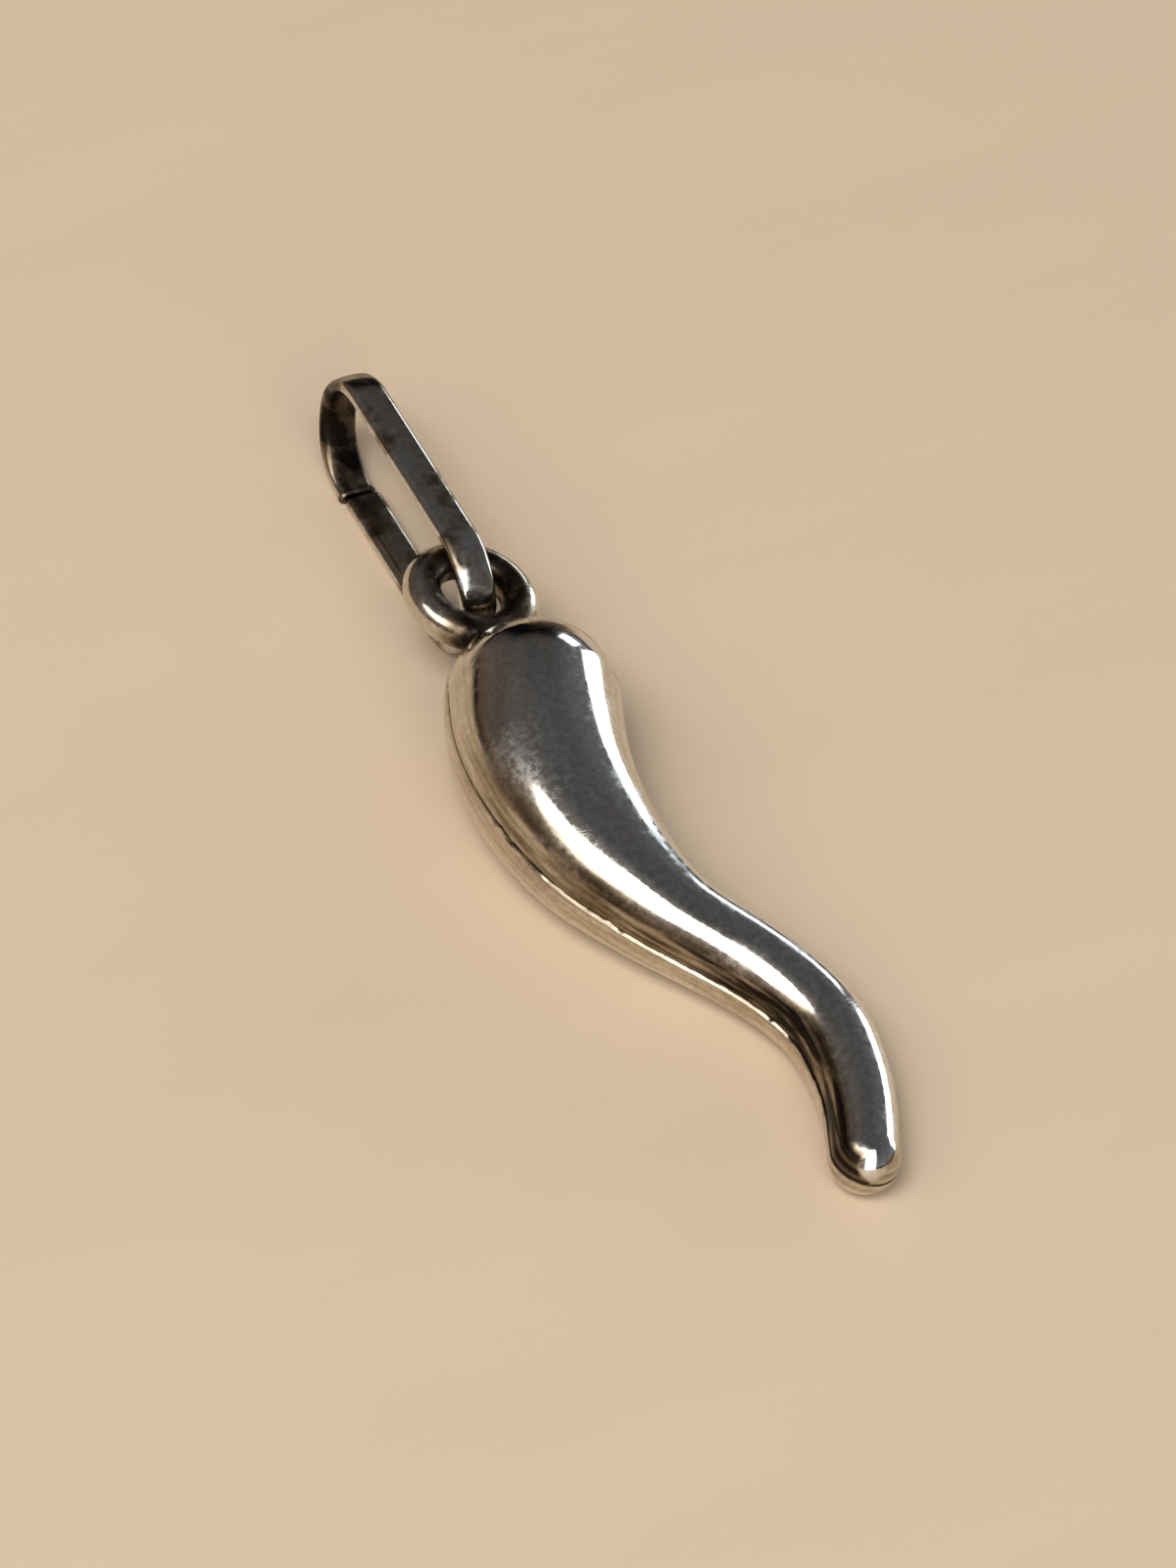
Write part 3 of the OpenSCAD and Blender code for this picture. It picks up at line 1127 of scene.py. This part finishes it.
# %% The horn's silver
TARNISH_AND_SHADE_COLORS = [
    # amount, what the metal's colour is multiplied by
    (0.00, (1.0, 1.0, 1.0)),
    (0.22, (0.79, 0.73, 0.63)),
    (0.48, (0.44, 0.365, 0.275)),
    (0.75, (0.18, 0.140, 0.098)),
    (1.00, (0.030, 0.024, 0.019)),
]
BUMP_DEEP = 0.0005 * MM
HAZE_COLOR, HAZE_PALE, HAZE_ROUGH = (0.62, 0.64, 0.67, 1), 0.35, 0.17
# How much rougher the scratches, the grain and the tarnish make it
ROUGHER = (0.08, 0.05, 0.24)
HORN_METAL, HORN_ROUGH = (0.76, 0.75, 0.73), 0.055
STREAK_SPREAD = (0.45, 4.6, 1)
# Pairs say what a share is multiplied by, at the least and at the most
MOTTLED = (0.85, 1.09)
STREAKED_BELT = (0.42, 1.15)
BLOTTED_CORNER, BLOTTED_GAP = (0.62, 1.05), (0.72, 1.0)
RUBBED_HAZE = (0.3, 1.5)


def new_material(name):
    """An empty node material with its output and Principled shader."""
    material = bpy.data.materials.new(name)
    material.use_nodes = True
    tree = material.node_tree
    tree.nodes.clear()
    shader = add_node(tree, "ShaderNodeBsdfPrincipled")
    add_node(tree, "ShaderNodeOutputMaterial", inputs={"Surface": shader.outputs["BSDF"]})
    return material, tree, shader


def color_ramp(tree, value, rows):
    """A ColorRamp node with a stop for each row."""
    node = add_node(tree, "ShaderNodeValToRGB", inputs={"Fac": value})
    stops = node.color_ramp.elements
    while len(stops) < len(rows):
        stops.new(0.5)
    for stop, (place, color) in zip(stops, rows):
        stop.position = place
        stop.color = (*color, 1)
    return node.outputs["Color"]


def finish_silver(tree, shader, clean, tarnish_and_shade, wear, haze, rough):
    """Links colour, roughness and bump of worn and tarnished silver, with its painted shade, to the
    shader.
    """
    dull = mix_colors(tree, times(tree, haze, HAZE_PALE), (*clean, 1), HAZE_COLOR)
    dull = scaled(tree, dull, between(tree, wear["Grain"], *MOTTLED))
    tint = color_ramp(tree, tarnish_and_shade, TARNISH_AND_SHADE_COLORS)
    color = mix_colors(tree, 1.0, dull, tint, "MULTIPLY")
    roughness = between(tree, haze, rough, rough + HAZE_ROUGH)
    roughness = add_shares(tree, roughness, zip((wear["Scratches"], wear["Grain"], tarnish_and_shade), ROUGHER))
    bump = add_node(tree, "ShaderNodeBump", inputs={
        "Strength": 1.0, "Distance": BUMP_DEEP, "Height": wear["Height"]})
    tree.links.new(color, shader.inputs["Base Color"])
    tree.links.new(roughness, shader.inputs["Roughness"])
    tree.links.new(bump.outputs["Normal"], shader.inputs["Normal"])
    shader.inputs["Metallic"].default_value = 1


def horn_silver():
    """Worn silver whose tarnish and painted shade follow the attribute."""
    material, tree, shader = new_material("silver")
    wear, place = worn(tree)
    marks = add_node(tree, "ShaderNodeVertexColor", layer_name="tarnish_and_shade").outputs
    gap, belt, corner = add_node(tree, "ShaderNodeSeparateColor", inputs={"Color": marks["Color"]}).outputs
    along = add_node(tree, "ShaderNodeUVMap", uv_map="lengthwise").outputs["UV"]
    streaks = patches(tree, stretched(tree, along, (0, 0, 0), STREAK_SPREAD), "streaks")
    blots = patches(tree, place, "blots")
    # The belt's painted shade is broken into streaks along the horn, and the corner's tarnish and painted
    # shade into blots.
    belt = times(tree, belt, between(tree, streaks, *STREAKED_BELT))
    corner = times(tree, corner, between(tree, blots, *BLOTTED_CORNER))
    gap = times(tree, gap, between(tree, blots, *BLOTTED_GAP))
    tarnish_and_shade = count_with(tree, "MAXIMUM", gap, count_with(tree, "MAXIMUM", belt, corner))
    rubs = times(tree, marks["Alpha"], between(tree, patches(tree, place, "rubbed"), *RUBBED_HAZE))
    haze = count_with(tree, "MAXIMUM", wear["Haze"], rubs)
    finish_silver(tree, shader, HORN_METAL, tarnish_and_shade, wear, haze, HORN_ROUGH)
    return material


horn.data.materials.clear()
horn.data.materials.append(horn_silver())
print("nodes in the horn's silver:", len(horn.data.materials[0].node_tree.nodes))

# %% [markdown]
# The bail's flat faces keep smudges. The inside of the oval is browner, because no cloth reaches it,
# and so are the cut ends. The far bend is painted darker too, which is painted shade. An attribute of
# the mesh says where those are.

# %% The bail's silver
BAIL_METAL, BAIL_ROUGH = (0.70, 0.69, 0.67), 0.07
SMUDGED = (0.02, 0.56)
# How much tarnish the inside and the cut ends add, and how much painted shade the far bend adds
BAIL_STAINS_AND_SHADE = (0.24, 0.5, 0.6)


def bail_silver():
    """Worn silver with smudges, browner inside the oval, with painted shade on the far bend."""
    material, tree, shader = new_material("bail_silver")
    wear, place = worn(tree)
    smudge = patches(tree, place, "smudges")
    marks = add_node(tree, "ShaderNodeVertexColor", layer_name="inside").outputs["Color"]
    places = add_node(tree, "ShaderNodeSeparateColor", inputs={"Color": marks}).outputs
    amount = add_shares(tree, between(tree, smudge, *SMUDGED), zip(places, BAIL_STAINS_AND_SHADE))
    finish_silver(tree, shader, BAIL_METAL, amount, wear, wear["Haze"], BAIL_ROUGH)
    return material


bail.data.materials.clear()
bail.data.materials.append(bail_silver())
print("nodes in the bail's silver:", len(bail.data.materials[0].node_tree.nodes))

# %% [markdown]
# The pendant lies on a plain pale surface with a faint grain.

# %% The surface it lies on
FLOOR_COLORS = (0.63, 0.495, 0.36, 1), (0.67, 0.53, 0.385, 1)
FLOOR_TURN, FLOOR_SPREAD, FLOOR_DETAIL = (0, 0, 12), (40, 260, 1), 3.0
FLOOR_ROUGH, FLOOR_SHINE = 0.65, 0.25


def add_floor():
    """A wide plain floor, which isn't part of the pendant."""
    start_fresh()
    bpy.ops.mesh.primitive_plane_add(size=2)
    floor = bpy.context.object
    floor.name = "floor"
    material, tree, shader = new_material("floor")
    place = add_node(tree, "ShaderNodeTexCoord").outputs["Object"]
    grain = cloud(tree, stretched(tree, place, FLOOR_TURN, FLOOR_SPREAD), 1.0, FLOOR_DETAIL)
    color = mix_colors(tree, grain, *FLOOR_COLORS)
    tree.links.new(color, shader.inputs["Base Color"])
    shader.inputs["Roughness"].default_value = FLOOR_ROUGH
    shader.inputs["Specular IOR Level"].default_value = FLOOR_SHINE
    floor.data.materials.append(material)
    return floor


floor = add_floor()
print("floor, metres across:", round(floor.dimensions.x, 1))

# %% [markdown]
# Metal shows its lamps as shapes, so each light is painted on the room by the direction in which the
# silver reflects it. Directions are counted from the camera's own: so many degrees round to the right,
# and so many up. The room is dim and isn't the same on every side: black straight ahead, brown on the
# left and behind, grey overhead. Each side is a short table of colours by height, and the sides are
# mixed by the direction that a ray takes.

# %% The sides of the room
def way_to(around, up):
    """Direction from the pendant, seen from the camera: around to the right, and up."""
    around, up = math.radians(around), math.radians(up)
    level = LOOK_ALONG * math.cos(around) + LEVEL_RIGHT * math.sin(around)
    return level * math.cos(up) + Vector((0, 0, math.sin(up)))


SIDES = [
    # towards (degrees round from the camera's direction), half width, and colours by height
    (None, None, [
        (0, (0.03, 0.03, 0.03)), (3, (0.03, 0.03, 0.03)), (7, (0.24, 0.24, 0.25)),
        (11, (0.22, 0.22, 0.23)), (23, (0.15, 0.15, 0.155)), (34, (0.125, 0.125, 0.13)),
        (60, (0.088, 0.083, 0.083)), (80, (0.084, 0.080, 0.080))]),
    (-140, 52, [
        (0, (0.12, 0.075, 0.045)), (8, (0.16, 0.115, 0.09)), (17, (0.20, 0.155, 0.13)),
        (28, (0.13, 0.10, 0.08)), (60, (0.11, 0.105, 0.095)), (80, (0.084, 0.082, 0.084))]),
    (-62, 30, [
        (0, (0.004, 0.003, 0.003)), (4, (0.004, 0.003, 0.003)), (8, (0.13, 0.085, 0.063)),
        (20, (0.108, 0.086, 0.070)), (34, (0.088, 0.074, 0.062)), (43, (0.115, 0.100, 0.090)),
        (60, (0.090, 0.086, 0.080)), (80, (0.084, 0.082, 0.084))]),
    (-14, 24, [
        (0, (0.003, 0.003, 0.003)), (24, (0.004, 0.004, 0.004)), (33, (0.040, 0.035, 0.030)),
        (38, (0.060, 0.055, 0.050)), (46, (0.074, 0.070, 0.067)), (60, (0.086, 0.084, 0.084)),
        (80, (0.084, 0.082, 0.084))]),
]
SIDE_SOFT = 26


def flat_angle(tree, way, around):
    """Degrees round to the right, counted from a given direction, between -180 and 180."""
    along, right = (dot_with(tree, way, way_to(angle, 0)) for angle in (around, around + 90))
    return angle_of(tree, right, along)


def room_color(tree, way, height):
    """Colour of the dim room, without its lights. Height is 0 at the horizon and 1 overhead."""
    def by_height(rows):
        return color_ramp(tree, height, [(up / 90, color) for up, color in rows])
    color = by_height(SIDES[0][2])
    for around, wide, rows in SIDES[1:]:
        off = count_with(tree, "ABSOLUTE", flat_angle(tree, way, around))
        share = soft_step(tree, off, wide + SIDE_SOFT / 2, wide - SIDE_SOFT / 2)
        color = mix_colors(tree, share, color, by_height(rows))
    return color


print("sides of the room:", len(SIDES))

# %% [markdown]
# The warm lamp is a long one that reaches from the left round to behind the camera. A table gives its
# lower and upper edge in each direction. The window, ahead on the right, is three patches with bars
# between them, and a tall lamp stands behind the camera, a little to the right. A soft box lights the
# surface from behind the camera and gives the pendant its soft shadow. It is kept out of the silver,
# because nothing of the kind shows there.

# %% The lights
WARM_LAMP = [
    # around, lower edge, upper edge, in degrees
    (-104, 38, 41),
    (-110, 32, 46),
    (-118, 28, 49),
    (-128, 26, 51),
    (-140, 25, 55),
    (-152, 25, 59),
    (-163, 27, 61),
    (-171, 31, 59),
    (-177, 38, 54),
    (-181, 44, 47),
]
WARM_MIDDLE = -142.5
WARM_REACH = 38.5
WARM_COLOR = (1.0, 0.95, 0.86)
WARM_BRIGHT = 2.6
WARM_SOFT = 1.6
BAR_ABOVE, BAR_HALF, BAR_DIM = 4.2, 0.6, 0.35
GLOW_REACH = 24
GLOW_BRIGHT = 0.09
PATCHES = [
    # around, up, half width, half height and soft edge in degrees, colour, brightness
    (14, 19.5, 6.5, 7.0, 1.0, (0.88, 0.96, 1.0), 2.2),
    (33, 6, 7.5, 15.0, 1.0, (0.86, 0.95, 1.0), 2.6),
    (52, 8, 9.0, 14.0, 1.0, (0.86, 0.95, 1.0), 2.2),
    (160, 27, 17.0, 33.0, 2.0, (1.0, 0.97, 0.92), 2.6),
]
AHEAD_SOFT = 0.1
SOFT_BOX = {"around": -158, "up": 54, "away": 450 * MM, "size": 170 * MM, "watts": 1.1}
BEHIND_OBJECT = (0.80, 0.77, 0.72, 1)


def edge_curve(tree, angle, column):
    """Height in degrees of an edge of the warm lamp, read off its table by direction."""
    share = count_with(tree, "DIVIDE", count_with(tree, "ADD", angle, WARM_REACH), 2 * WARM_REACH)
    node = add_node(tree, "ShaderNodeFloatCurve", inputs={"Value": share})
    curve = node.mapping.curves[0]
    rows = sorted(WARM_LAMP)
    places = [((row[0] - WARM_MIDDLE + WARM_REACH) / (2 * WARM_REACH), row[column] / 90) for row in rows]
    curve.points[0].location, curve.points[-1].location = places[0], places[-1]
    for place in places[1:-1]:
        curve.points.new(*place)
    node.mapping.update()
    return times(tree, node.outputs["Value"], 90)


def warm_light(tree, way, up):
    """Brightness of the warm lamp, with the dim bar across it and a faint glow round it."""
    angle = flat_angle(tree, way, WARM_MIDDLE)
    low, high = edge_curve(tree, angle, 1), edge_curve(tree, angle, 2)
    over = count_with(tree, "SUBTRACT", up, low)
    inside = count_with(tree, "MINIMUM", over, count_with(tree, "SUBTRACT", high, up))
    ends = count_with(tree, "SUBTRACT", (WARM_LAMP[0][0] - WARM_LAMP[-1][0]) / 2,
                      count_with(tree, "ABSOLUTE", angle))
    inside = count_with(tree, "MINIMUM", inside, ends)
    lit = soft_step(tree, inside, -WARM_SOFT, WARM_SOFT)
    off_bar = soft_step(tree, apart(tree, over, BAR_ABOVE), BAR_HALF / 2, BAR_HALF)
    lit = times(tree, lit, between(tree, off_bar, BAR_DIM, 1))
    near = soft_step(tree, inside, -GLOW_REACH, 0)
    return count_with(tree, "ADD", times(tree, lit, WARM_BRIGHT), times(tree, near, GLOW_BRIGHT))


def patch_light(tree, way, around, up, wide, high, soft, bright):
    """Brightness of one rectangular light."""
    middle = way_to(around, up)
    level = UP.cross(middle).normalized()
    upright = middle.cross(level)
    ahead, aside, above = (dot_with(tree, way, axis) for axis in (middle, level, upright))
    lit = times(tree, soft_step(tree, ahead, 0, AHEAD_SOFT), bright)
    for off, half in ((aside, wide), (above, high)):
        angle = angle_of(tree, count_with(tree, "ABSOLUTE", off), ahead)
        lit = times(tree, lit, soft_step(tree, angle, half + soft, half - soft))
    return lit


def add_soft_box():
    """A soft lamp for the surface under the pendant. The silver doesn't show it."""
    data = bpy.data.lights.new("soft_box", "AREA")
    data.size = SOFT_BOX["size"]
    data.energy = SOFT_BOX["watts"]
    lamp = bpy.data.objects.new("soft_box", data)
    bpy.context.scene.collection.objects.link(lamp)
    way = way_to(SOFT_BOX["around"], SOFT_BOX["up"])
    lamp.location = way * SOFT_BOX["away"]
    lamp.rotation_euler = way.to_track_quat("Z", "Y").to_euler()
    lamp.visible_glossy = False
    return lamp


def add_room():
    """The world: what lights the pendant from all round, and what the camera sees behind it."""
    world = bpy.data.worlds.new("room")
    bpy.context.scene.world = world
    world.use_nodes = True
    tree = world.node_tree
    tree.nodes.clear()
    way = add_node(tree, "ShaderNodeTexCoord").outputs["Generated"]
    split = add_node(tree, "ShaderNodeSeparateXYZ", inputs={"Vector": way})
    up = count_with(tree, "DEGREES", count_with(tree, "ARCSINE", split.outputs["Z"]))
    height = count_with(tree, "DIVIDE", up, 90, use_clamp=True)
    color = room_color(tree, way, height)
    lights = [(WARM_COLOR, warm_light(tree, way, up))]
    for *shape, light_color, bright in PATCHES:
        lights.append((light_color, patch_light(tree, way, *shape, bright)))
    for light_color, lit in lights:
        color = mix_colors(tree, 1.0, color, scaled(tree, light_color, lit), "ADD")
    path = add_node(tree, "ShaderNodeLightPath")
    color = mix_colors(tree, path.outputs["Is Camera Ray"], color, BEHIND_OBJECT)
    light = add_node(tree, "ShaderNodeBackground", inputs={"Color": color})
    add_node(tree, "ShaderNodeOutputWorld", inputs={"Surface": light.outputs["Background"]})
    return world


room = add_room()
soft_box = add_soft_box()
bpy.context.scene.view_settings.view_transform = "Standard"
print("soft box stands at mm:", [round(v / MM) for v in soft_box.location])
print("lights:", 2 + len(PATCHES), "nodes in the room:", len(room.node_tree.nodes))
